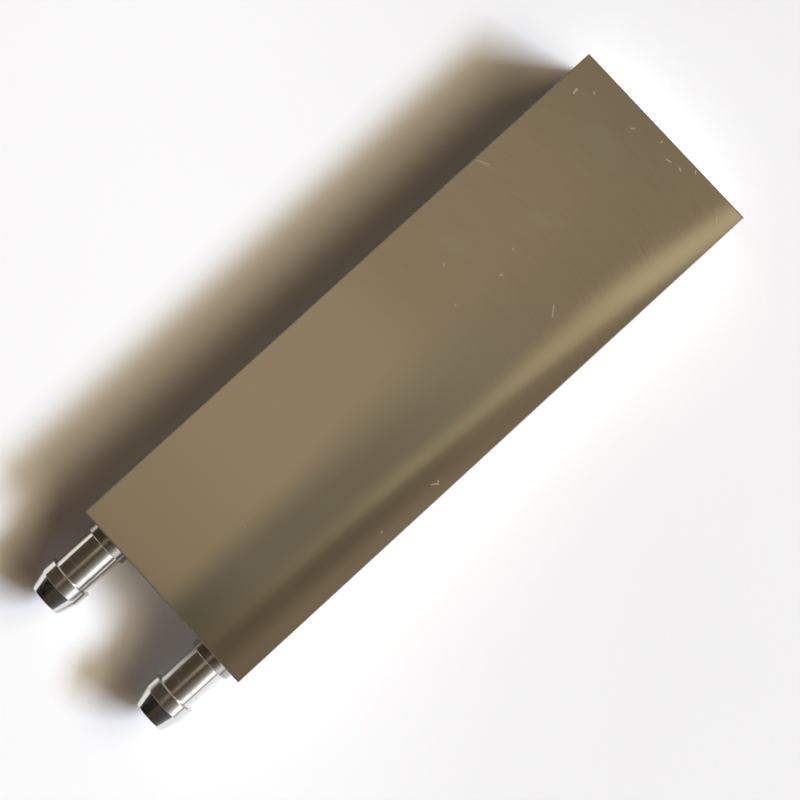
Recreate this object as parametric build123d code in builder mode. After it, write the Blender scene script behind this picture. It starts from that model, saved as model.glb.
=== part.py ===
# Liquid cooling block: a flat bar of hollow aluminium profile with two hose nozzles on one short end.
# Millimetres. +X runs along the block away from the nozzles, +Y across it, +Z up.
# The origin is the centre of the underside.
# Coolant enters one nozzle, runs down the channels of that half, turns round in the far plenum
# and comes back through the channels of the other half.
import os

from build123d import *

# Outside of the block
block_length = 120.0
block_width = 40.0
block_height = 12.0
long_edge_radius = 0.15
end_edge_chamfer = 0.1

# Section of the extrusion
plate_wall = 2.0
side_wall = 2.0
divider_thickness = 2.0
web_thickness = 1.0
webs_per_side = 6
channel_corner_radius = 0.3

# Milling inside both ends
plug_thickness = 3.0
mouth_relief = 0.5
mouth_corner_radius = 1.5
plenum_length = 8.0

# End plugs
braze_gap = 0.05
plug_edge_chamfer = 0.25

# Nozzles, from the block outwards
nozzle_side_distance = 6.25
bore_diameter = 5.0
bore_lead_in = 0.25
spigot_diameter = 6.6
spigot_protrusion = 1.0
collar_diameter = 8.8
collar_thickness = 2.0
collar_chamfer = 0.15
neck_diameter = 7.6
neck_length = 5.7
relief_diameter = 7.5
relief_length = 2.5
barb_diameter = 8.9
barb_land_length = 2.5
cone_length = 3.5
tip_diameter = 6.8
tip_edge_radius = 0.3

# Sizes that follow from the ones above
half_length = block_length / 2
mid_height = block_height / 2
cavity_height = block_height - 2 * plate_wall
cavity_width = block_width - 2 * side_wall
half_cavity_width = (cavity_width - divider_thickness) / 2
half_cavity_centre = (divider_thickness + half_cavity_width) / 2
channels_per_side = webs_per_side + 1
channel_width = (half_cavity_width - webs_per_side * web_thickness) / channels_per_side
mouth_width = cavity_width + 2 * mouth_relief
mouth_height = cavity_height + 2 * mouth_relief
nozzle_offset = block_width / 2 - nozzle_side_distance

# The two end faces, each seen with its normal pointing out of the block
nozzle_end = Plane(origin=(-half_length, 0, mid_height), x_dir=(0, -1, 0), z_dir=(-1, 0, 0))
blank_end = Plane(origin=(half_length, 0, mid_height), x_dir=(0, 1, 0), z_dir=(1, 0, 0))

os.makedirs("parts", exist_ok=True)


# Extruded body
channel_pitch = channel_width + web_thickness
first_channel = (divider_thickness + channel_width) / 2
channel_centres = [
    (side * (first_channel + number * channel_pitch), 0)
    for side in (-1, 1)
    for number in range(channels_per_side)
]

with BuildPart() as extruded_body:
    # Outer form, with its corners broken along the length and at both cut ends
    with BuildSketch(blank_end):
        RectangleRounded(block_width, block_height, long_edge_radius)
    extrude(amount=-block_length)
    chamfer(extruded_body.faces().filter_by(Axis.X).edges(), end_edge_chamfer)
    # Channels from end to end, which leave the webs and the thicker divider standing
    with BuildSketch(blank_end):
        with Locations(*channel_centres):
            RectangleRounded(channel_width, cavity_height, channel_corner_radius)
    extrude(amount=-block_length, mode=Mode.SUBTRACT)
    # Webs milled back at the nozzle end, one plenum on each side of the divider
    with BuildSketch(nozzle_end):
        with Locations((-half_cavity_centre, 0), (half_cavity_centre, 0)):
            RectangleRounded(half_cavity_width, cavity_height, channel_corner_radius)
    extrude(amount=-(plug_thickness + plenum_length), mode=Mode.SUBTRACT)
    # Webs and divider milled back at the far end, one plenum where the coolant turns round
    with BuildSketch(blank_end):
        RectangleRounded(cavity_width, cavity_height, channel_corner_radius)
    extrude(amount=-(plug_thickness + plenum_length), mode=Mode.SUBTRACT)
    # Mouths opened out to a ledge for the plugs
    with BuildSketch(nozzle_end, blank_end):
        RectangleRounded(mouth_width, mouth_height, mouth_corner_radius)
    extrude(amount=-plug_thickness, mode=Mode.SUBTRACT)
extruded_body.part.label = "extruded_body"
export_step(extruded_body.part, "parts/extruded_body.step")


# Section that both end plugs share: the mouth less the braze gap all round
with BuildSketch() as plug_section:
    RectangleRounded(
        mouth_width - 2 * braze_gap, mouth_height - 2 * braze_gap, mouth_corner_radius - braze_gap
    )


# Nozzle end plug
with BuildPart() as nozzle_end_plug:
    with BuildSketch(nozzle_end):
        add(plug_section.sketch)
    extrude(amount=-plug_thickness)
    chamfer(nozzle_end_plug.faces().sort_by(Axis.X)[0].edges(), plug_edge_chamfer)
    with Locations(nozzle_end):
        with Locations((-nozzle_offset, 0), (nozzle_offset, 0)):
            Hole(spigot_diameter / 2 + braze_gap)
nozzle_end_plug.part.label = "nozzle_end_plug"
export_step(nozzle_end_plug.part, "parts/nozzle_end_plug.step")


# Blank end plug
with BuildPart() as blank_end_plug:
    with BuildSketch(blank_end):
        add(plug_section.sketch)
    extrude(amount=-plug_thickness)
    chamfer(blank_end_plug.faces().sort_by(Axis.X)[-1].edges(), plug_edge_chamfer)
blank_end_plug.part.label = "blank_end_plug"
export_step(blank_end_plug.part, "parts/blank_end_plug.step")


# Inlet and outlet nozzles, one turned part made twice
# Stations along the nozzle are measured from the block's end face, positive outwards
collar_end = collar_thickness
neck_end = collar_end + neck_length
relief_end = neck_end + relief_length
land_end = relief_end + barb_land_length
tip = land_end + cone_length
spigot_start = -(plug_thickness + spigot_protrusion)

for name, side in (("inlet_nozzle", 1), ("outlet_nozzle", -1)):
    nozzle_foot = (-half_length, side * nozzle_offset, mid_height)
    turning_axis = Axis(nozzle_foot, (-1, 0, 0))
    with BuildPart() as nozzle:
        with BuildSketch(Plane(origin=nozzle_foot, x_dir=(-1, 0, 0), z_dir=(0, 0, 1))) as nozzle_section:
            with BuildLine():
                Polyline(
                    (spigot_start, bore_diameter / 2),
                    (spigot_start, spigot_diameter / 2),
                    (0, spigot_diameter / 2),
                    (0, collar_diameter / 2),
                    (collar_end - collar_chamfer, collar_diameter / 2),
                    (collar_end, collar_diameter / 2 - collar_chamfer),
                    (collar_end, neck_diameter / 2),
                    (neck_end, neck_diameter / 2),
                    (neck_end, relief_diameter / 2),
                    (relief_end, relief_diameter / 2),
                    (relief_end, barb_diameter / 2),
                    (land_end, barb_diameter / 2),
                    (tip, tip_diameter / 2),
                    (tip, bore_diameter / 2 + bore_lead_in),
                    (tip - bore_lead_in, bore_diameter / 2),
                    close=True,
                )
            make_face()
            tip_corners = nozzle_section.vertices().group_by(Axis.X)[-1]
            fillet(tip_corners.sort_by(Axis.Y)[-1], tip_edge_radius)
        revolve(axis=turning_axis)
    nozzle.part.label = name
    export_step(nozzle.part, f"parts/{name}.step")
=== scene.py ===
# Liquid cooling block: satin sanded bar, brazed end plugs and two bright turned hose nozzles
import math

import bpy
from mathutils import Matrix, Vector


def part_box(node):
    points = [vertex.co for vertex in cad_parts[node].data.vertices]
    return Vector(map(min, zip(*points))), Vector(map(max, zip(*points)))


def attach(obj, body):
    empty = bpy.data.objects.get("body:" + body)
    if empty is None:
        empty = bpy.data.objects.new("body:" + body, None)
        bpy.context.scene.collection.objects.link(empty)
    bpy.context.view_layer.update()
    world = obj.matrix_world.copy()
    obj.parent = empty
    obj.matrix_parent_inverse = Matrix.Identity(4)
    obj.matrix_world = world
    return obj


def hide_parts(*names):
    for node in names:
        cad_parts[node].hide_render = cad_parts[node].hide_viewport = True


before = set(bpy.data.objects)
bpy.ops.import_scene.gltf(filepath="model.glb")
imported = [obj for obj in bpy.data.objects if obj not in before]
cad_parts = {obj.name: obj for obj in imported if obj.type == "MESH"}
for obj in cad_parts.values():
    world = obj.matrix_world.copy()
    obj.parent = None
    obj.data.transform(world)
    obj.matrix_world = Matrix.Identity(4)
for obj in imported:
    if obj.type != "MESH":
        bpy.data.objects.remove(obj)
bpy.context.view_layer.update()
mm = 0.001
blockLow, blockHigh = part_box("extruded_body")
print("frame loaded:", ", ".join(sorted(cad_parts)))


# Small helpers for node trees

def addNode(tree, kind, **settings):
    node = tree.nodes.new(kind)
    for name, value in settings.items():
        setattr(node, name, value)
    return node


def feed(tree, value, socket):
    # links a socket, or writes a plain value, or leaves the default where there is none
    if value is None:
        return
    if isinstance(value, bpy.types.NodeSocket):
        tree.links.new(value, socket)
    else:
        socket.default_value = value


def mathNode(tree, operation, first, second=None, third=None, clamp=False):
    node = addNode(tree, "ShaderNodeMath", operation=operation, use_clamp=clamp)
    for socket, value in zip(node.inputs, (first, second, third)):
        feed(tree, value, socket)
    return node.outputs[0]


def times(tree, first, second):
    return mathNode(tree, "MULTIPLY", first, second)


def mixNumber(tree, factor, first, second):
    node = addNode(tree, "ShaderNodeMix", data_type="FLOAT")
    for index, value in ((0, factor), (2, first), (3, second)):
        feed(tree, value, node.inputs[index])
    return node.outputs[0]


def mixColour(tree, factor, first, second):
    node = addNode(tree, "ShaderNodeMix", data_type="RGBA")
    for index, value in ((0, factor), (6, first), (7, second)):
        feed(tree, value, node.inputs[index])
    return node.outputs[2]


def mixVector(tree, factor, first, second):
    node = addNode(tree, "ShaderNodeMix", data_type="VECTOR")
    for index, value in ((0, factor), (4, first), (5, second)):
        feed(tree, value, node.inputs[index])
    return node.outputs[1]


def ramp(tree, value, low, high, lowOut=0.0, highOut=1.0):
    node = addNode(tree, "ShaderNodeMapRange", interpolation_type="SMOOTHSTEP")
    for index, item in enumerate((value, low, high, lowOut, highOut)):
        feed(tree, item, node.inputs[index])
    return node.outputs[0]


def noiseValue(tree, vector, scale, detail=2.0, roughness=0.5, dimensions="3D"):
    node = addNode(tree, "ShaderNodeTexNoise", noise_dimensions=dimensions)
    if dimensions == "1D":
        feed(tree, vector, node.inputs["W"])
    else:
        feed(tree, vector, node.inputs["Vector"])
    node.inputs["Scale"].default_value = scale
    node.inputs["Detail"].default_value = detail
    node.inputs["Roughness"].default_value = roughness
    return node.outputs[0]


def combine(tree, x, y, z=0.0):
    node = addNode(tree, "ShaderNodeCombineXYZ")
    for socket, value in zip(node.inputs, (x, y, z)):
        feed(tree, value, socket)
    return node.outputs[0]


def separate(tree, vector):
    node = addNode(tree, "ShaderNodeSeparateXYZ")
    feed(tree, vector, node.inputs[0])
    return node.outputs


def newGroup(name, inputs, outputs):
    tree = bpy.data.node_groups.new(name, "ShaderNodeTree")
    for socketName, kind, value in inputs:
        socket = tree.interface.new_socket(name=socketName, in_out="INPUT", socket_type=kind)
        if value is not None:
            socket.default_value = value
    for socketName, kind in outputs:
        tree.interface.new_socket(name=socketName, in_out="OUTPUT", socket_type=kind)
    return tree, tree.nodes.new("NodeGroupInput").outputs, tree.nodes.new("NodeGroupOutput").inputs


def useGroup(tree, group, **values):
    node = addNode(tree, "ShaderNodeGroup", node_tree=group)
    for name, value in values.items():
        feed(tree, value, node.inputs[name.replace("_", " ")])
    return node.outputs


def newMaterial(name):
    material = bpy.data.materials.new(name)
    material.use_nodes = True
    tree = material.node_tree
    tree.nodes.clear()
    shader = tree.nodes.new("ShaderNodeBsdfPrincipled")
    output = tree.nodes.new("ShaderNodeOutputMaterial")
    tree.links.new(shader.outputs[0], output.inputs["Surface"])
    return material, tree, shader


number, vectorKind = "NodeSocketFloat", "NodeSocketVector"


# Shared effects

def makeGrainGroup():
    # parallel sanding or milling lines: fine and coarse strokes, long in one direction
    coarseShare = 0.22                       # coarse strokes for each fine one, across
    fineWeight, coarseWeight = 0.6, 0.4
    strokeFrom, strokeTo = 0.35, 0.68        # coarse noise between which a stroke comes up
    tree, into, out = newGroup(
        "sandingGrain",
        [("Across", number, 0.0), ("Along", number, 0.0), ("Pitch", number, 0.1),
         ("Stretch", number, 60.0), ("Seed", number, 0.0)],
        [("Height", number), ("Strokes", number)],
    )
    across = mathNode(tree, "DIVIDE", into["Across"], into["Pitch"])
    along = mathNode(tree, "DIVIDE", into["Along"], times(tree, into["Pitch"], into["Stretch"]))
    fine = noiseValue(tree, combine(tree, across, along, into["Seed"]), 1.0, 2.0, 0.6)
    coarseAcross = times(tree, across, coarseShare)
    coarse = noiseValue(tree, combine(tree, coarseAcross, along, into["Seed"]), 1.0, 2.0, 0.5)
    height = mathNode(tree, "ADD", times(tree, fine, fineWeight), times(tree, coarse, coarseWeight))
    feed(tree, height, out["Height"])
    feed(tree, ramp(tree, coarse, strokeFrom, strokeTo), out["Strokes"])
    return tree


def makeEdgeGroup():
    # how close a point is to the edges of the block, broken up unevenly: the band is darkened with painted
    # shade, and roughened as handling wears it
    breakupScale = 1.3                       # per mm
    tree, into, out = newGroup(
        "edgeShadeAndWear",
        [("Vector", vectorKind, None), ("Centre", vectorKind, None), ("Half Size", vectorKind, None),
         ("Width", number, 0.3), ("Breakup", number, 0.5)],
        [("Mask", number)],
    )
    offset = addNode(tree, "ShaderNodeVectorMath", operation="SUBTRACT")
    feed(tree, into["Vector"], offset.inputs[0])
    feed(tree, into["Centre"], offset.inputs[1])
    size = addNode(tree, "ShaderNodeVectorMath", operation="ABSOLUTE")
    feed(tree, offset.outputs[0], size.inputs[0])
    depth = addNode(tree, "ShaderNodeVectorMath", operation="SUBTRACT")
    feed(tree, into["Half Size"], depth.inputs[0])
    feed(tree, size.outputs[0], depth.inputs[1])
    x, y, z = separate(tree, depth.outputs[0])
    # the middle one of the three depths is the distance to the nearest edge on a face
    highest = mathNode(tree, "MAXIMUM", mathNode(tree, "MAXIMUM", x, y), z)
    lowest = mathNode(tree, "MINIMUM", mathNode(tree, "MINIMUM", x, y), z)
    total = mathNode(tree, "ADD", mathNode(tree, "ADD", x, y), z)
    middle = mathNode(tree, "SUBTRACT", mathNode(tree, "SUBTRACT", total, highest), lowest)
    uneven = noiseValue(tree, into["Vector"], breakupScale, 3.0, 0.6)
    shift = times(tree, mathNode(tree, "SUBTRACT", uneven, 0.5), into["Breakup"])
    feed(tree, ramp(tree, mathNode(tree, "ADD", middle, shift), into["Width"], 0.0), out["Mask"])
    return tree


def makeMarkGroup():
    # one soft-edged mark on the top: a dot, a nick or a cooler patch, by its middle, length, turn and width
    depthFrom, depthTo = 0.4, 0.2            # mm below the top, where a mark has gone and where it is whole
    tree, into, out = newGroup(
        "surfaceMark",
        [("Vector", vectorKind, None), ("Place", vectorKind, None), ("Turn", number, 0.0),
         ("Length", number, 1.0), ("Width", number, 0.2), ("Softness", number, 0.5)],
        [("Mask", number)],
    )
    offset = addNode(tree, "ShaderNodeVectorMath", operation="SUBTRACT")
    feed(tree, into["Vector"], offset.inputs[0])
    feed(tree, into["Place"], offset.inputs[1])
    turned = addNode(tree, "ShaderNodeVectorRotate", rotation_type="Z_AXIS", invert=True)
    feed(tree, offset.outputs[0], turned.inputs["Vector"])
    feed(tree, into["Turn"], turned.inputs["Angle"])
    x, y, z = separate(tree, turned.outputs[0])
    beyond = mathNode(tree, "SUBTRACT", mathNode(tree, "ABSOLUTE", x), times(tree, into["Length"], 0.5))
    past = mathNode(tree, "MAXIMUM", beyond, 0.0)
    squares = mathNode(tree, "MULTIPLY_ADD", past, past, times(tree, y, y))
    distance = mathNode(tree, "SQRT", squares)
    inner = times(tree, into["Width"], mathNode(tree, "SUBTRACT", 1.0, into["Softness"]))
    near = ramp(tree, distance, into["Width"], inner)
    onTop = ramp(tree, mathNode(tree, "ABSOLUTE", z), depthFrom, depthTo)
    feed(tree, times(tree, near, onTop), out["Mask"])
    return tree


grainGroup = makeGrainGroup()
edgeGroup = makeEdgeGroup()
markGroup = makeMarkGroup()


def objectPoint(tree):
    # object coordinates in millimetres
    coordinates = tree.nodes.new("ShaderNodeTexCoord")
    scaled = addNode(tree, "ShaderNodeVectorMath", operation="SCALE")
    tree.links.new(coordinates.outputs["Object"], scaled.inputs[0])
    scaled.inputs["Scale"].default_value = 1 / mm
    return scaled.outputs[0]


def facing(tree):
    # the way that the surface faces, in the object's own axes
    return tree.nodes.new("ShaderNodeTexCoord").outputs["Normal"]


def bump(tree, height, depth, strength):
    # depth is in millimetres
    node = tree.nodes.new("ShaderNodeBump")
    feed(tree, height, node.inputs["Height"])
    node.inputs["Distance"].default_value = depth * mm
    node.inputs["Strength"].default_value = strength
    return node.outputs[0]


# Block

block = {
    "colour": (0.47, 0.43, 0.35, 1.0),       # sanded aluminium
    "strokeColour": (0.51, 0.47, 0.39, 1.0),
    "nickColour": (0.74, 0.71, 0.64, 1.0),
    "coolPatchColour": (0.52, 0.52, 0.445, 1.0),
    # painted shade along the edges
    "edgeShadeColour": (0.15, 0.13, 0.12, 1.0),
    "metallic": 1.0,
    "roughness": 0.045,                      # of the top and the underside
    "sideRoughness": 0.24,                   # of the long sides and the ends
    "nickRoughness": 0.28,
    "edgeRoughness": 0.5,
    "strokeRoughness": 0.01,                 # added on a stroke
    "hazeRoughness": 0.01,                   # added or taken off by soft clouds
    "hazeScale": 0.045,                      # clouds per mm
    "anisotropy": 0.75,
    "sweep": 48.0,                           # mm, radius of the arcs that the sanding head leaves
    "linePitch": 0.16,                       # mm between fine strokes
    "lineStretch": 65.0,                     # how many pitches long they are
    "lineSeed": 3.0,
    "lineDepth": 0.0008,                     # mm
    "lineBump": 0.5,
    "plainReach": (-5, 30),                  # mm along the block, between which strokes get plainer
    "faintShare": 0.3,                       # how plain they are before that
    "edgeWidth": 0.34,                       # mm
    "edgeBreakup": 0.12,                     # mm
    "strokeMix": 0.35,
    "nickMix": 0.6,
    "coolPatchMix": 0.36,
    "nickSoftness": 0.5,
    "coolPatchSoftness": 1.0,
    # bright nicks on the top: x, y, length, turn in degrees, width
    "nicks": (
        (15.4, 9.6, 0.3, 40, 0.20), (26.3, 3.4, 0.2, 30, 0.24), (21.7, 1.4, 0.2, -30, 0.30),
        (12.2, 3.0, 0.2, 0, 0.16), (24.0, -9.4, 2.0, 40, 0.16), (32.9, 18.3, 2.4, -64, 0.15),
        (53.6, 16.7, 0.9, 10, 0.28), (55.8, 14.2, 0.4, 60, 0.18), (-41.0, -0.8, 0.6, 45, 0.15),
        (-11.9, -17.6, 0.9, -30, 0.18), (-11.2, -17.9, 0.7, 45, 0.18), (-24.2, -17.6, 0.3, 0, 0.16),
        (56.5, 4.9, 0.6, -45, 0.18), (57.2, -3.6, 0.9, -80, 0.16), (57.6, -6.1, 0.5, 70, 0.18),
        (58.6, -0.3, 0.4, 0, 0.18), (59.3, -8.3, 0.5, 45, 0.18), (56.1, -17.2, 0.8, 60, 0.18),
    ),
    # cooler patches, in the same order
    "coolPatches": ((50.5, 6.0, 5.0, 75, 4.2), (34.0, 3.2, 6.0, -56, 2.2), (19.5, 11.0, 3.5, -60, 2.8)),
}


def makeMarks(tree, point, marks, softness):
    # the strongest of several marks at each point
    total = None
    for x, y, length, turn, width in marks:
        mask = useGroup(tree, markGroup, Vector=point, Place=(x, y, blockHigh.z / mm),
                        Turn=math.radians(turn), Length=length, Width=width, Softness=softness)["Mask"]
        total = mask if total is None else mathNode(tree, "MAXIMUM", total, mask)
    return total


def makeBlockMaterial():
    squareOn = 0.7                           # a side or an end faces at least this much its own way
    material, tree, shader = newMaterial("sandedBlock")
    point = objectPoint(tree)
    x, y, z = separate(tree, point)
    endways, sideways = (mathNode(tree, "ABSOLUTE", part) for part in separate(tree, facing(tree))[:2])
    onSide = mathNode(tree, "GREATER_THAN", sideways, squareOn)
    onEnd = mathNode(tree, "GREATER_THAN", endways, squareOn)
    offTop = mathNode(tree, "MAXIMUM", onSide, onEnd)
    # strokes across the top lie on arcs that bulge towards +X; sides and ends have straight level ones
    lean = mathNode(tree, "ARCSINE", mathNode(tree, "DIVIDE", y, block["sweep"]))
    fallBack = mathNode(tree, "SUBTRACT", 1.0, mathNode(tree, "COSINE", lean))
    bulge = times(tree, fallBack, block["sweep"])
    across = mixNumber(tree, onSide, mathNode(tree, "ADD", x, bulge), z)
    across = mixNumber(tree, onEnd, across, z)
    along = mixNumber(tree, onSide, times(tree, lean, block["sweep"]), x)
    along = mixNumber(tree, onEnd, along, y)
    grain = useGroup(tree, grainGroup, Across=across, Along=along, Pitch=block["linePitch"],
                     Stretch=block["lineStretch"], Seed=block["lineSeed"])
    half = [(high - low) / 2 / mm for low, high in zip(blockLow, blockHigh)]
    centre = [(high + low) / 2 / mm for low, high in zip(blockLow, blockHigh)]
    shadedWornEdge = useGroup(tree, edgeGroup, Vector=point, Centre=centre, Half_Size=half,
                    Width=block["edgeWidth"], Breakup=block["edgeBreakup"])["Mask"]
    nicked = makeMarks(tree, point, block["nicks"], block["nickSoftness"])
    coolPatched = makeMarks(tree, point, block["coolPatches"], block["coolPatchSoftness"])
    # the strokes are plainest towards the far end
    plainness = ramp(tree, x, *block["plainReach"], block["faintShare"], 1.0)
    strokes = times(tree, grain["Strokes"], plainness)
    tone = mixColour(tree, times(tree, strokes, block["strokeMix"]), block["colour"], block["strokeColour"])
    tone = mixColour(tree, times(tree, coolPatched, block["coolPatchMix"]), tone, block["coolPatchColour"])
    # painted shade along the edges; the roughness below adds wear there
    tone = mixColour(tree, shadedWornEdge, tone, block["edgeShadeColour"])
    tone = mixColour(tree, times(tree, nicked, block["nickMix"]), tone, block["nickColour"])
    feed(tree, tone, shader.inputs["Base Color"])
    haze = noiseValue(tree, point, block["hazeScale"], 3.0, 0.55)
    clouds = times(tree, haze, 2 * block["hazeRoughness"])
    rough = mathNode(tree, "ADD", block["roughness"] - block["hazeRoughness"], clouds)
    rough = mathNode(tree, "ADD", rough, times(tree, strokes, block["strokeRoughness"]))
    rough = mixNumber(tree, offTop, rough, block["sideRoughness"])
    rough = mixNumber(tree, nicked, rough, block["nickRoughness"])
    feed(tree, mixNumber(tree, shadedWornEdge, rough, block["edgeRoughness"]), shader.inputs["Roughness"])
    shader.inputs["Metallic"].default_value = block["metallic"]
    shader.inputs["Anisotropic"].default_value = block["anisotropy"]
    # the highlight is drawn out square to the strokes
    flat = combine(tree, mathNode(tree, "COSINE", lean), mathNode(tree, "SINE", lean), 0.0)
    stretched = mixVector(tree, offTop, flat, combine(tree, 0.0, 0.0, 1.0))
    feed(tree, stretched, shader.inputs["Tangent"])
    relief = bump(tree, times(tree, grain["Height"], plainness), block["lineDepth"], block["lineBump"])
    feed(tree, relief, shader.inputs["Normal"])
    return material


# End plugs

plug = {
    "colour": (0.62, 0.61, 0.58, 1.0),
    "strokeColour": (0.70, 0.69, 0.67, 1.0),
    "metallic": 0.9,
    "roughness": 0.34,
    "strokeRoughness": 0.08,                 # added on a stroke
    "strokeMix": 0.5,
    "linePitch": 0.2,                        # mm between fine strokes
    "lineStretch": 40.0,                     # how many pitches long they are
    "lineSeed": 5.0,
    "lineDepth": 0.006,                      # mm
    "lineBump": 0.8,
}


def makePlugMaterial():
    material, tree, shader = newMaterial("milledPlug")
    y, z = separate(tree, objectPoint(tree))[1:]
    grain = useGroup(tree, grainGroup, Across=z, Along=y, Pitch=plug["linePitch"],
                     Stretch=plug["lineStretch"], Seed=plug["lineSeed"])
    strokes = grain["Strokes"]
    tone = mixColour(tree, times(tree, strokes, plug["strokeMix"]), plug["colour"], plug["strokeColour"])
    feed(tree, tone, shader.inputs["Base Color"])
    rough = mathNode(tree, "ADD", plug["roughness"], times(tree, strokes, plug["strokeRoughness"]))
    feed(tree, rough, shader.inputs["Roughness"])
    shader.inputs["Metallic"].default_value = plug["metallic"]
    feed(tree, bump(tree, grain["Height"], plug["lineDepth"], plug["lineBump"]), shader.inputs["Normal"])
    return material


# Nozzles

nozzle = {
    # sizes in mm; an end is measured from the block's end face, outwards
    "spigot": (3.3, 4.0),                    # radius, and length inside the block
    "collar": (4.4, 2.0, 0.15),              # radius, end, chamfer
    "neck": (3.8, 7.7),                      # radius, end
    "relief": (3.75, 10.2),
    "land": (4.45, 12.7),
    "tip": (3.4, 16.2),
    "tipRound": 0.3,
    "bore": (2.5, 0.25),                     # radius, lead-in
    "edgeRound": 0.015,
    "hold": 0.01,                            # from a rounding to the ring that keeps its neighbour flat
    "segments": 144,
    "outsideStep": 0.06,                     # between rings of the turned outside
    "insideStep": 0.6,                       # between the other rings
    "outsideRadius": 3.0,                    # past which the turned outside lies
    "markStart": 0.1,                        # where the turning marks start
    "grooveDepth": 0.0035,
    "groovePitch": 0.17,
    "grooveShift": 40.0,                     # grooves from one nozzle's marks to the other's
    "colour": (0.83, 0.825, 0.81, 1.0),
    "darkColour": (0.55, 0.54, 0.52, 1.0),
    "seamAndCornerShadeColour": (0.18, 0.16, 0.14, 1.0),   # a dark line where the neck's last cut ends, and painted shade in the barb's corner
    # the collar is darker than the rest of the nozzle
    "collarColour": (0.43, 0.42, 0.40, 1.0),
    "metallic": 1.0,
    "roughness": 0.075,
    "collarRoughness": 0.04,                 # added on the collar
    "collarFade": (0.02, -0.05),             # from the collar's end, where its darker colour and added roughness start and are whole
    # fine rings left by the cut
    "ringScale": 7.0,                        # per mm
    "ringReach": (0.38, 0.66),               # noise between which a ring gets rougher
    "ringRoughness": 0.10,
    "ringMix": 0.25,
    "ringDepth": 0.002,
    "ringBump": 0.6,
    # short torn marks that follow the cutting tool round
    "tornScale": (8.0, 2.4),                 # per mm along, per radian round
    "tornShift": 30.0,                       # from one nozzle's marks to the other's
    "tornReach": (0.45, 0.7),
    "tornRoughness": 0.05,
    "tornMix": 0.35,
    # dark lines: how far from the line they start, where they are whole, and how dark they get
    "neckSeam": (0.12, 0.04, 0.25),
    # painted shade in the corner behind the barb
    "shoulderShade": (0.08, 0.03, 0.6),
}


def nozzleCorners():
    # (station, radius) round the section, from the bore's inner end back to it; stations grow outwards
    spigotRadius, spigotLength = nozzle["spigot"]
    collarRadius, collarEnd, chamfer = nozzle["collar"]
    neckRadius, neckEnd = nozzle["neck"]
    reliefRadius, reliefEnd = nozzle["relief"]
    landRadius, landEnd = nozzle["land"]
    tipRadius, tipEnd = nozzle["tip"]
    boreRadius, leadIn = nozzle["bore"]
    return [
        (-spigotLength, boreRadius), (-spigotLength, spigotRadius), (0.0, spigotRadius),
        (0.0, collarRadius), (collarEnd - chamfer, collarRadius), (collarEnd, collarRadius - chamfer),
        (collarEnd, neckRadius), (neckEnd, neckRadius), (neckEnd, reliefRadius),
        (reliefEnd, reliefRadius), (reliefEnd, landRadius), (landEnd, landRadius),
        (tipEnd, tipRadius), (tipEnd, boreRadius + leadIn), (tipEnd - leadIn, boreRadius),
    ]


def nozzleSection():
    # the same section with small round corners, in steps short enough to carry the turning marks
    mostOfSide = 0.35                        # a rounding takes no more than this share of a short side
    tolerance = 0.01                         # mm
    corners = [Vector(corner) for corner in nozzleCorners()]
    tipRadius, tipEnd = nozzle["tip"]
    softened = []
    for index, corner in enumerate(corners):
        before, after = corners[index - 1], corners[(index + 1) % len(corners)]
        space = min((before - corner).length, (after - corner).length)
        atTip = (corner - Vector((tipEnd, tipRadius))).length < tolerance
        cut = min(nozzle["tipRound"] if atTip else nozzle["edgeRound"], space * mostOfSide)
        back, onward = (before - corner).normalized(), (after - corner).normalized()
        start, end = corner + back * cut, corner + onward * cut
        middle = (start + end + corner * 2) / 4
        # a ring close to each side of the rounding keeps the shading of the straight parts flat
        softened += [start + back * nozzle["hold"], start, middle, end, end + onward * nozzle["hold"]]
    points = []
    for index, point in enumerate(softened):
        following = softened[(index + 1) % len(softened)]
        pastFace = min(point.x, following.x) > -tolerance
        outside = pastFace and min(point.y, following.y) > nozzle["outsideRadius"]
        step = nozzle["outsideStep"] if outside else nozzle["insideStep"]
        parts = max(1, round((following - point).length / step))
        points += [point.lerp(following, part / parts) for part in range(parts)]
    return points


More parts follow.
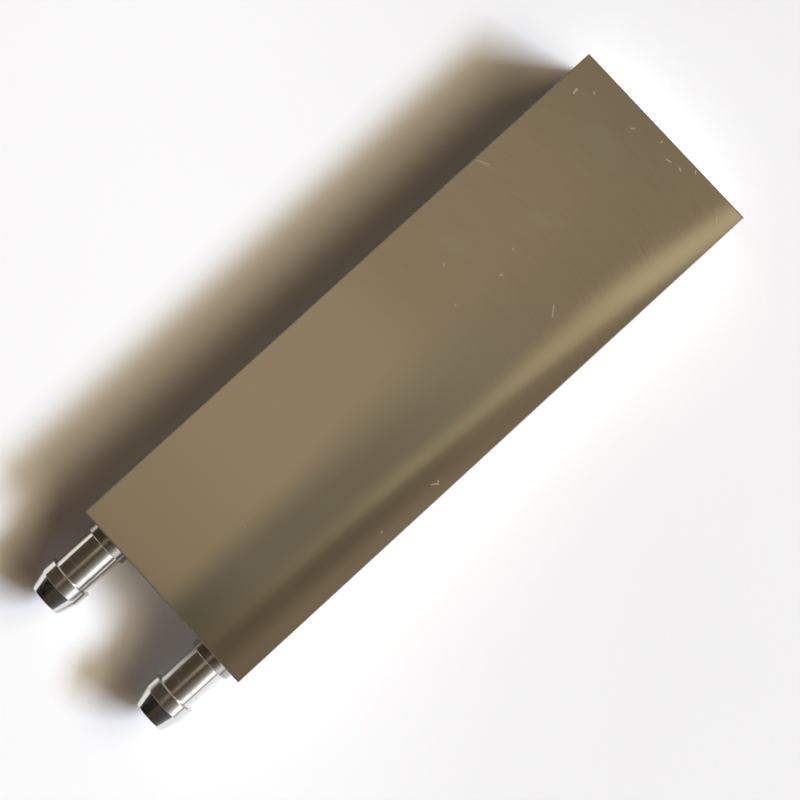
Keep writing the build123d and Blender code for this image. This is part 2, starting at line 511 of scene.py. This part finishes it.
def makeTurningTree():
    # turns a closed section about the X axis: section vertices hold (station, radius, 0)
    tree = bpy.data.node_groups.new("turnedPart", "GeometryNodeTree")
    weldDistance = 1e-7                      # metres
    for name, kind in (
        ("Section", "NodeSocketGeometry"), ("Segments", "NodeSocketInt"), ("Groove Depth", number),
        ("Groove Pitch", number), ("Outside Radius", number), ("Mark Start", number),
        ("Centre", vectorKind), ("Seed", number), ("Metal", "NodeSocketMaterial"),
    ):
        tree.interface.new_socket(name=name, in_out="INPUT", socket_type=kind)
    tree.interface.new_socket(name="Part", in_out="OUTPUT", socket_type="NodeSocketGeometry")
    into = tree.nodes.new("NodeGroupInput").outputs
    out = tree.nodes.new("NodeGroupOutput").inputs

    size = addNode(tree, "GeometryNodeAttributeDomainSize", component="MESH")
    tree.links.new(into["Section"], size.inputs[0])
    rings = size.outputs["Point Count"]
    ringsClosed = mathNode(tree, "ADD", rings, 1.0)
    segmentsClosed = mathNode(tree, "ADD", into["Segments"], 1.0)
    grid = tree.nodes.new("GeometryNodeMeshGrid")
    feed(tree, ringsClosed, grid.inputs["Vertices X"])
    feed(tree, segmentsClosed, grid.inputs["Vertices Y"])
    index = tree.nodes.new("GeometryNodeInputIndex").outputs[0]
    # half a step keeps the division from falling short of a whole number
    rowPlace = mathNode(tree, "DIVIDE", mathNode(tree, "ADD", index, 0.5), segmentsClosed)
    ring = mathNode(tree, "FLOOR", rowPlace)
    spoke = mathNode(tree, "SUBTRACT", index, times(tree, ring, segmentsClosed))
    ringWrapped = mathNode(tree, "FLOORED_MODULO", ring, rings)
    position = tree.nodes.new("GeometryNodeInputPosition").outputs[0]
    sample = addNode(tree, "GeometryNodeSampleIndex", data_type="FLOAT_VECTOR", domain="POINT")
    tree.links.new(into["Section"], sample.inputs["Geometry"])
    feed(tree, position, sample.inputs["Value"])
    feed(tree, ringWrapped, sample.inputs["Index"])
    station, radius = separate(tree, sample.outputs[0])[:2]

    # turning marks: an uneven feed on the outside only
    feedSpot = mathNode(tree, "DIVIDE", station, into["Groove Pitch"])
    uneven = noiseValue(tree, mathNode(tree, "ADD", feedSpot, into["Seed"]), 1.0, 1.0, 0.5, "1D")
    wave = mathNode(tree, "SINE", times(tree, feedSpot, 2 * math.pi))
    marks = mathNode(tree, "ADD", times(tree, wave, 0.5), mathNode(tree, "SUBTRACT", uneven, 0.5))
    outside = times(tree, mathNode(tree, "GREATER_THAN", radius, into["Outside Radius"]),
                    mathNode(tree, "GREATER_THAN", station, into["Mark Start"]))
    groove = times(tree, times(tree, marks, into["Groove Depth"]), outside)
    grooved = mathNode(tree, "SUBTRACT", radius, mathNode(tree, "ABSOLUTE", groove))
    angle = mathNode(tree, "DIVIDE", times(tree, spoke, 2 * math.pi), into["Segments"])
    across = times(tree, grooved, mathNode(tree, "COSINE", angle))
    up = times(tree, grooved, mathNode(tree, "SINE", angle))
    # stations grow towards -X
    turned = combine(tree, times(tree, station, -1.0), across, up)
    place = addNode(tree, "ShaderNodeVectorMath", operation="ADD")
    feed(tree, turned, place.inputs[0])
    feed(tree, into["Centre"], place.inputs[1])
    move = tree.nodes.new("GeometryNodeSetPosition")
    tree.links.new(grid.outputs["Mesh"], move.inputs["Geometry"])
    feed(tree, place.outputs[0], move.inputs["Position"])
    weld = tree.nodes.new("GeometryNodeMergeByDistance")
    tree.links.new(move.outputs[0], weld.inputs["Geometry"])
    weld.inputs["Distance"].default_value = weldDistance
    smooth = tree.nodes.new("GeometryNodeSetShadeSmooth")
    tree.links.new(weld.outputs[0], smooth.inputs["Geometry"])
    real = tree.nodes.new("GeometryNodeRealizeInstances")
    tree.links.new(smooth.outputs[0], real.inputs["Geometry"])
    dress = tree.nodes.new("GeometryNodeSetMaterial")
    tree.links.new(real.outputs[0], dress.inputs["Geometry"])
    feed(tree, into["Metal"], dress.inputs["Material"])
    tree.links.new(dress.outputs[0], out["Part"])
    return tree


def setInputs(modifier, values):
    # a modifier's inputs go by their sockets' identifiers
    for item in modifier.node_group.interface.items_tree:
        if item.item_type == "SOCKET" and item.in_out == "INPUT" and item.name in values:
            modifier[item.identifier] = values[item.name]


def settle(obj, name):
    # turns a live modifier's result into a plain mesh object
    depsgraph = bpy.context.evaluated_depsgraph_get()
    mesh = bpy.data.meshes.new_from_object(obj.evaluated_get(depsgraph))
    obj.modifiers.clear()
    bpy.data.objects.remove(obj)
    mesh.name = name
    settled = bpy.data.objects.new(name, mesh)
    bpy.context.scene.collection.objects.link(settled)
    return settled


def makeNozzle(node, turningTree, material, seed):
    points = nozzleSection()
    mesh = bpy.data.meshes.new(node + "Section")
    edges = [(index, (index + 1) % len(points)) for index in range(len(points))]
    mesh.from_pydata([(point.x * mm, point.y * mm, 0.0) for point in points], edges, [])
    obj = bpy.data.objects.new(node + "Section", mesh)
    bpy.context.scene.collection.objects.link(obj)
    low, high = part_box(node)
    foot = Vector((blockLow.x, (low.y + high.y) / 2, (low.z + high.z) / 2))
    modifier = obj.modifiers.new("turned", "NODES")
    modifier.node_group = turningTree
    setInputs(modifier, {
        "Segments": nozzle["segments"], "Groove Depth": nozzle["grooveDepth"] * mm,
        "Groove Pitch": nozzle["groovePitch"] * mm, "Outside Radius": nozzle["outsideRadius"] * mm,
        "Mark Start": nozzle["markStart"] * mm, "Centre": foot, "Seed": seed, "Metal": material,
    })
    piece = settle(obj, node + "_turned")
    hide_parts(node)
    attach(piece, "root")
    print("turned", node, len(piece.data.polygons), "faces")


def darkLine(tree, station, at, reach):
    # a line round the nozzle
    start, whole, strength = reach
    away = mathNode(tree, "ABSOLUTE", mathNode(tree, "SUBTRACT", station, at))
    return ramp(tree, away, start, whole, 0.0, strength)


def makeNozzleMaterial():
    material, tree, shader = newMaterial("turnedNozzle")
    x, y, z = separate(tree, objectPoint(tree))
    station = mathNode(tree, "SUBTRACT", blockLow.x / mm, x)
    low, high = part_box("inlet_nozzle")
    besideAxis = mathNode(tree, "SUBTRACT", mathNode(tree, "ABSOLUTE", y), (low.y + high.y) / 2 / mm)
    aboveAxis = mathNode(tree, "SUBTRACT", z, (low.z + high.z) / 2 / mm)
    turn = mathNode(tree, "ARCTAN2", besideAxis, aboveAxis)
    rings = noiseValue(tree, x, nozzle["ringScale"], 3.0, 0.6, "1D")
    which = times(tree, mathNode(tree, "GREATER_THAN", y, 0.0), nozzle["tornShift"])
    tornAlong, tornRound = nozzle["tornScale"]
    place = combine(tree, times(tree, x, tornAlong), times(tree, turn, tornRound), which)
    torn = ramp(tree, noiseValue(tree, place, 1.0, 2.0, 0.6), *nozzle["tornReach"])
    fadeStart, fadeEnd = (nozzle["collar"][1] + part for part in nozzle["collarFade"])
    onCollar = ramp(tree, station, fadeStart, fadeEnd)
    # a dark line at the neck's last cut, and painted shade in the barb's corner
    seamAndCornerShade = mathNode(tree, "MAXIMUM", darkLine(tree, station, nozzle["neck"][1], nozzle["neckSeam"]),
                    darkLine(tree, station, nozzle["relief"][1], nozzle["shoulderShade"]))
    tone = mixColour(tree, times(tree, rings, nozzle["ringMix"]), nozzle["colour"], nozzle["darkColour"])
    tone = mixColour(tree, times(tree, torn, nozzle["tornMix"]), tone, nozzle["darkColour"])
    tone = mixColour(tree, seamAndCornerShade, tone, nozzle["seamAndCornerShadeColour"])
    tone = mixColour(tree, onCollar, tone, nozzle["collarColour"])
    feed(tree, tone, shader.inputs["Base Color"])
    ringRough = ramp(tree, rings, *nozzle["ringReach"], 0.0, nozzle["ringRoughness"])
    rough = mathNode(tree, "ADD", nozzle["roughness"], ringRough)
    rough = mathNode(tree, "ADD", rough, times(tree, torn, nozzle["tornRoughness"]))
    rough = mathNode(tree, "ADD", rough, times(tree, onCollar, nozzle["collarRoughness"]))
    feed(tree, rough, shader.inputs["Roughness"])
    shader.inputs["Metallic"].default_value = nozzle["metallic"]
    feed(tree, bump(tree, rings, nozzle["ringDepth"], nozzle["ringBump"]), shader.inputs["Normal"])
    return material


blockMaterial = makeBlockMaterial()
plugMaterial = makePlugMaterial()
nozzleMaterial = makeNozzleMaterial()


def dress(node, material):
    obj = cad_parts[node]
    obj.data.materials.clear()
    obj.data.materials.append(material)


dress("extruded_body", blockMaterial)
dress("nozzle_end_plug", plugMaterial)
dress("blank_end_plug", plugMaterial)
print("block and plugs dressed")

turningTree = makeTurningTree()
for index, node in enumerate(("inlet_nozzle", "outlet_nozzle")):
    makeNozzle(node, turningTree, nozzleMaterial, nozzle["grooveShift"] * index)


# Cloth that the block lies on

cloth = {
    "size": 1.6,                             # metres
    "colour": (0.975, 0.975, 0.975, 1.0),
    "shadeColour": (0.82, 0.815, 0.81, 1.0),
    "shadeReach": (-80, 70),                 # mm towards the window's corner, between which painted shade makes it greyer
    "shadeMix": 0.85,
    "cloudMix": 0.2,
    "cloudScale": 0.012,                     # per mm
    "threadPitch": 0.45,                     # mm
    "threadHeight": 0.25,                    # beside the slubs' 1
    "slubScale": 0.6,                        # per mm
    "weaveDepth": 0.05,                      # mm
    "weaveBump": 0.25,
    "roughness": 0.9,
    "specular": 0.2,
}


def makeClothMaterial():
    material, tree, shader = newMaterial("clothWeave")
    point = objectPoint(tree)
    x, y = separate(tree, point)[:2]
    turnsPerMm = 2 * math.pi / cloth["threadPitch"]
    warp = mathNode(tree, "SINE", times(tree, x, turnsPerMm))
    weft = mathNode(tree, "SINE", times(tree, y, turnsPerMm))
    weave = times(tree, warp, weft)
    slub = noiseValue(tree, point, cloth["slubScale"], 4.0, 0.6)
    clouds = noiseValue(tree, point, cloth["cloudScale"], 2.0, 0.5)
    across = mathNode(tree, "SUBTRACT", x, y)
    # painted shade: the cloth greyer towards the window's corner
    paintedShade = ramp(tree, across, *cloth["shadeReach"], 0.0, cloth["shadeMix"])
    shade = mathNode(tree, "MULTIPLY_ADD", clouds, cloth["cloudMix"], paintedShade, clamp=True)
    feed(tree, mixColour(tree, shade, cloth["colour"], cloth["shadeColour"]), shader.inputs["Base Color"])
    shader.inputs["Roughness"].default_value = cloth["roughness"]
    shader.inputs["Specular IOR Level"].default_value = cloth["specular"]
    height = mathNode(tree, "ADD", times(tree, weave, cloth["threadHeight"]), slub)
    feed(tree, bump(tree, height, cloth["weaveDepth"], cloth["weaveBump"]), shader.inputs["Normal"])
    return material


def makeCloth():
    half = cloth["size"] / 2
    corners = [(-half, -half, 0), (half, -half, 0), (half, half, 0), (-half, half, 0)]
    mesh = bpy.data.meshes.new("cloth")
    mesh.from_pydata(corners, [], [(0, 1, 2, 3)])
    mesh.materials.append(makeClothMaterial())
    obj = bpy.data.objects.new("cloth", mesh)
    bpy.context.scene.collection.objects.link(obj)


makeCloth()
print("cloth laid")


# Light: a low cool window with a wider, warmer and weaker one above it

light = {
    # turn from +X and height in degrees, width and height in metres, power, colour
    "windows": (
        (-61.0, 30.0, 1.85, 0.54, 255.0, (0.695, 0.795, 0.98)),
        (-55.0, 39.0, 4.80, 1.15, 132.0, (1.0, 0.87, 0.60)),
    ),
    "distance": 4.0,                         # metres
}


# Room that the metal mirrors. Lean is degrees off plumb towards +Y and turn degrees towards +X, seen
# from the block; each list of pairs gives the level at a place

room = {
    "colour": (1.0, 0.83, 0.60, 1.0),
    "sideColour": (1.0, 0.72, 0.47, 1.0),
    "glowColour": (1.0, 0.98, 0.96, 1.0),
    "glowLean": (-8, -56),                   # between which the side's colour turns into the glow's
    "levels": ((-92, 0.06), (-88, 0.10), (-85, 0.45), (-81, 1.00), (-76, 1.30), (-62, 1.30), (-56, 0.54),
               (-46, 0.29), (-38, 0.19), (-30, 0.145), (-22, 0.12), (-14, 0.08), (-6, 0.07), (1, 0.095),
               (8, 0.11), (16, 0.10), (24, 0.09), (32, 0.07), (40, 0.06), (75, 0.065), (85, 0.09)),
    # past the nozzles' end
    "endTurn": (-24.0, -36.0),
    "endLevels": ((-92, 0.14), (-80, 0.11), (-62, 0.07), (-50, 0.045), (-12, 0.045), (-3, 0.055), (7, 0.06),
                  (15, 0.016), (23, 0.01), (60, 0.008)),
    # the faint plain light that reaches the cloth from it
    "fillColour": (1.0, 0.50, 0.22, 1.0),
    "fillLevels": ((-66, 0.0), (-46, 0.16), (-14, 0.16), (-4, 0.03), (90, 0.02)),
    # pale surroundings: for the camera everywhere, for reflections past these turns and in the gap
    "paleTurns": (2.0, 12.0, -49.0, -58.0),
    "paleGap": (-33.0, -30.0, -21.0, -17.0),  # between what the barrels and the cones mirror
    "paleColour": (1.0, 1.0, 1.0, 1.0),
    "paleLevel": 0.93,
}

# the ceiling straight above, placed by where the top face mirrors it for the camera, in mm
ceiling = {
    "eye": (-20.17, -20.13, 292.05),         # camera from the top face
    "leastRise": 0.2,                        # of a direction that meets it
    "reachX": (-66, -61.5, 80, 150),
    "reachY": (-44, -34, 46, 62),
    "tone": ((-62, 0.46), (-50, 0.50), (-30, 0.56), (-5, 0.56), (10, 0.48), (35, 0.46), (62, 0.38)),
    # a soft shade over the nozzle half
    "shadeTone": ((-62, 0.20), (-42, 0.30), (-20, 0.32), (15, 0.41)),
    "shadeEdge": (-2.0, 3.0, 8.0),           # its upper border, and half the border's width near and far
    "shadeReach": (-40, 10),                 # x between which the border widens
    "warmReach": (-10, 25),                  # x between which its colour ends
    # a bright slanting bar, and what lies beyond it
    "glintTone": ((-62, 0.245), (-34, 0.37), (-10, 0.52), (22, 0.72), (45, 0.88), (60, 0.92)),
    "glintPath": (-14.95, 2.0, -0.0714, -0.00048),  # y at x, slope and bend
    "glintWidth": ((0, 2.4), (36, 4.4), (60, 3.7)),
    "glintFade": (1.4, 0.6, 0.25),           # shares of the width, and mm, where its upper side fades
    "glintFoot": 0.4,
    "stripTone": ((-59, 0.19), (-34, 0.21), (-12, 0.25), (2, 0.32)),
    "edgeTone": ((-60, 0.30), (-38, 0.36), (-12, 0.40), (10, 0.34), (24, 0.30)),
    "edgeReach": (-2.4, -5.2),               # below the bar, between which the strip ends
    "shadeColour": (1.0, 0.90, 0.70, 1.0),
    "stripColour": (1.0, 0.80, 0.60, 1.0),
    "glintColour": (1.0, 0.87, 0.60, 1.0),
}


def steps(tree, value, knots):
    # a smooth curve through (value, level) pairs
    low, high = knots[0][0], knots[-1][0]
    place = addNode(tree, "ShaderNodeMapRange")
    for index, item in enumerate((value, low, high)):
        feed(tree, item, place.inputs[index])
    node = tree.nodes.new("ShaderNodeValToRGB")
    tree.links.new(place.outputs[0], node.inputs[0])
    curve = node.color_ramp
    curve.interpolation = "EASE"
    while len(curve.elements) < len(knots):
        curve.elements.new(0.5)
    for stop, (at, level) in zip(curve.elements, knots):
        stop.position = (at - low) / (high - low)
        stop.color = (level, level, level, 1.0)
    return node.outputs[0]


def span(tree, value, reach):
    # 1 between the inner two values, falling to 0 at the outer two
    outerLow, low, high, outerHigh = reach
    return times(tree, ramp(tree, value, outerLow, low), ramp(tree, value, outerHigh, high))


def makeCeiling(tree, dx, dy, dz):
    eyeX, eyeY, eyeUp = ceiling["eye"]
    x = mathNode(tree, "MULTIPLY_ADD", mathNode(tree, "DIVIDE", dx, dz), eyeUp, eyeX)
    y = mathNode(tree, "MULTIPLY_ADD", mathNode(tree, "DIVIDE", dy, dz), eyeUp, eyeY)
    overhead = mathNode(tree, "GREATER_THAN", dz, ceiling["leastRise"])
    inside = times(tree, span(tree, x, ceiling["reachX"]), span(tree, y, ceiling["reachY"]))
    inside = times(tree, inside, overhead)

    # the shade
    border, nearHalf, farHalf = ceiling["shadeEdge"]
    half = ramp(tree, x, *ceiling["shadeReach"], nearHalf, farHalf)
    rise = mathNode(tree, "DIVIDE", mathNode(tree, "SUBTRACT", y, border), half)
    lit = ramp(tree, rise, -1.0, 1.0)
    level = mixNumber(tree, lit, steps(tree, x, ceiling["shadeTone"]), steps(tree, x, ceiling["tone"]))
    warm = mathNode(tree, "MAXIMUM", lit, ramp(tree, x, *ceiling["warmReach"]))
    colour = mixColour(tree, warm, ceiling["shadeColour"], room["colour"])

    # the bar, with a darker strip beyond it
    at, start, slope, bend = ceiling["glintPath"]
    along = mathNode(tree, "SUBTRACT", x, start)
    path = mathNode(tree, "MULTIPLY_ADD", along, mathNode(tree, "MULTIPLY_ADD", along, bend, slope), at)
    above = mathNode(tree, "SUBTRACT", y, path)
    width = steps(tree, x, ceiling["glintWidth"])
    outer, inner, soft = ceiling["glintFade"]
    fadeStart = mathNode(tree, "MULTIPLY_ADD", width, outer, soft)
    fadeEnd = mathNode(tree, "MULTIPLY_ADD", width, inner, -soft)
    onBar = ramp(tree, above, fadeStart, fadeEnd)
    level = mixNumber(tree, onBar, level, steps(tree, x, ceiling["glintTone"]))
    colour = mixColour(tree, onBar, colour, ceiling["glintColour"])
    atEdge = ramp(tree, above, *ceiling["edgeReach"])
    low = mixNumber(tree, atEdge, steps(tree, x, ceiling["stripTone"]), steps(tree, x, ceiling["edgeTone"]))
    below = ramp(tree, above, ceiling["glintFoot"], -ceiling["glintFoot"])
    level = mixNumber(tree, below, level, low)
    colour = mixColour(tree, below, colour, ceiling["stripColour"])
    return inside, level, colour


def makeRoom():
    world = bpy.data.worlds.new("room")
    world.use_nodes = True
    tree = world.node_tree
    tree.nodes.clear()
    dx, dy, dz = separate(tree, tree.nodes.new("ShaderNodeTexCoord").outputs["Generated"])
    lean = mathNode(tree, "DEGREES", mathNode(tree, "ARCTAN2", dy, dz))
    turn = mathNode(tree, "DEGREES", mathNode(tree, "ARCSINE", dx))
    level = mixNumber(tree, ramp(tree, turn, *room["endTurn"]), steps(tree, lean, room["levels"]),
                      steps(tree, lean, room["endLevels"]))
    glowing = ramp(tree, lean, *room["glowLean"])
    colour = mixColour(tree, glowing, room["sideColour"], room["glowColour"])
    inside, ceilingLevel, ceilingColour = makeCeiling(tree, dx, dy, dz)
    ray = tree.nodes.new("ShaderNodeLightPath").outputs
    # reflections show pale surroundings past both ends of the block and in one gap between them, but
    # not on the ceiling; the background is pale everywhere
    farFrom, farTo, nearFrom, nearTo = room["paleTurns"]
    past = mathNode(tree, "MAXIMUM", ramp(tree, turn, farFrom, farTo), ramp(tree, turn, nearFrom, nearTo))
    past = mathNode(tree, "MAXIMUM", past, span(tree, turn, room["paleGap"]))
    past = times(tree, past, mathNode(tree, "SUBTRACT", 1.0, inside))
    pale = mathNode(tree, "MAXIMUM", ray["Is Camera Ray"], times(tree, past, ray["Is Glossy Ray"]))
    # the metal mirrors the room itself, and plain surfaces get its faint fill
    mirrored = mixColour(tree, inside, colour, ceilingColour)
    colour = mixColour(tree, ray["Is Glossy Ray"], room["fillColour"], mirrored)
    mirroredLevel = mixNumber(tree, inside, level, ceilingLevel)
    fillLevel = steps(tree, lean, room["fillLevels"])
    level = mixNumber(tree, ray["Is Glossy Ray"], fillLevel, mirroredLevel)
    background = tree.nodes.new("ShaderNodeBackground")
    feed(tree, mixColour(tree, pale, colour, room["paleColour"]), background.inputs["Color"])
    feed(tree, mixNumber(tree, pale, level, room["paleLevel"]), background.inputs["Strength"])
    output = tree.nodes.new("ShaderNodeOutputWorld")
    tree.links.new(background.outputs[0], output.inputs[0])
    bpy.context.scene.world = world


def makeWindows():
    for turn, rise, width, height, power, colour in light["windows"]:
        data = bpy.data.lights.new("window", "AREA")
        data.shape = "RECTANGLE"
        data.size, data.size_y = width, height
        data.energy = power
        data.color = colour
        turn, rise = math.radians(turn), math.radians(rise)
        level = math.cos(rise)
        toWindow = Vector((level * math.cos(turn), level * math.sin(turn), math.sin(rise)))
        window = bpy.data.objects.new("window", data)
        window.location = toWindow * light["distance"]
        window.rotation_euler = (-toWindow).to_track_quat("-Z", "Y").to_euler()
        bpy.context.scene.collection.objects.link(window)


makeWindows()
makeRoom()
print("windows and room made")


# Camera, nearly overhead

view = {
    "place": (-20.17, -20.13, 304.05),       # mm
    "aim": (-6.35, -2.77, 12.0),             # mm, on the top face
    "imageRight": (0.7374, -0.6754, -0.0053),
    "focalPixels": 1676.6,
    "imagePixels": 800.0,
    "sensor": 36.0,                          # mm
    "clipStart": 0.01,                       # metres
}


def makeCamera():
    data = bpy.data.cameras.new("camera")
    data.sensor_width = view["sensor"]
    data.lens = view["focalPixels"] * view["sensor"] / view["imagePixels"]
    data.clip_start = view["clipStart"]
    camera = bpy.data.objects.new("camera", data)
    bpy.context.scene.collection.objects.link(camera)
    place, aim = Vector(view["place"]) * mm, Vector(view["aim"]) * mm
    back = (place - aim).normalized()
    right = Vector(view["imageRight"])
    right = (right - back * right.dot(back)).normalized()
    up = back.cross(right)
    matrix = camera.matrix_world.to_3x3()
    matrix.col[0], matrix.col[1], matrix.col[2] = right, up, back
    camera.matrix_world = matrix.to_4x4()
    camera.location = place
    bpy.context.scene.camera = camera


makeCamera()
bpy.context.scene.view_settings.view_transform = "Standard"
bpy.context.view_layer.update()
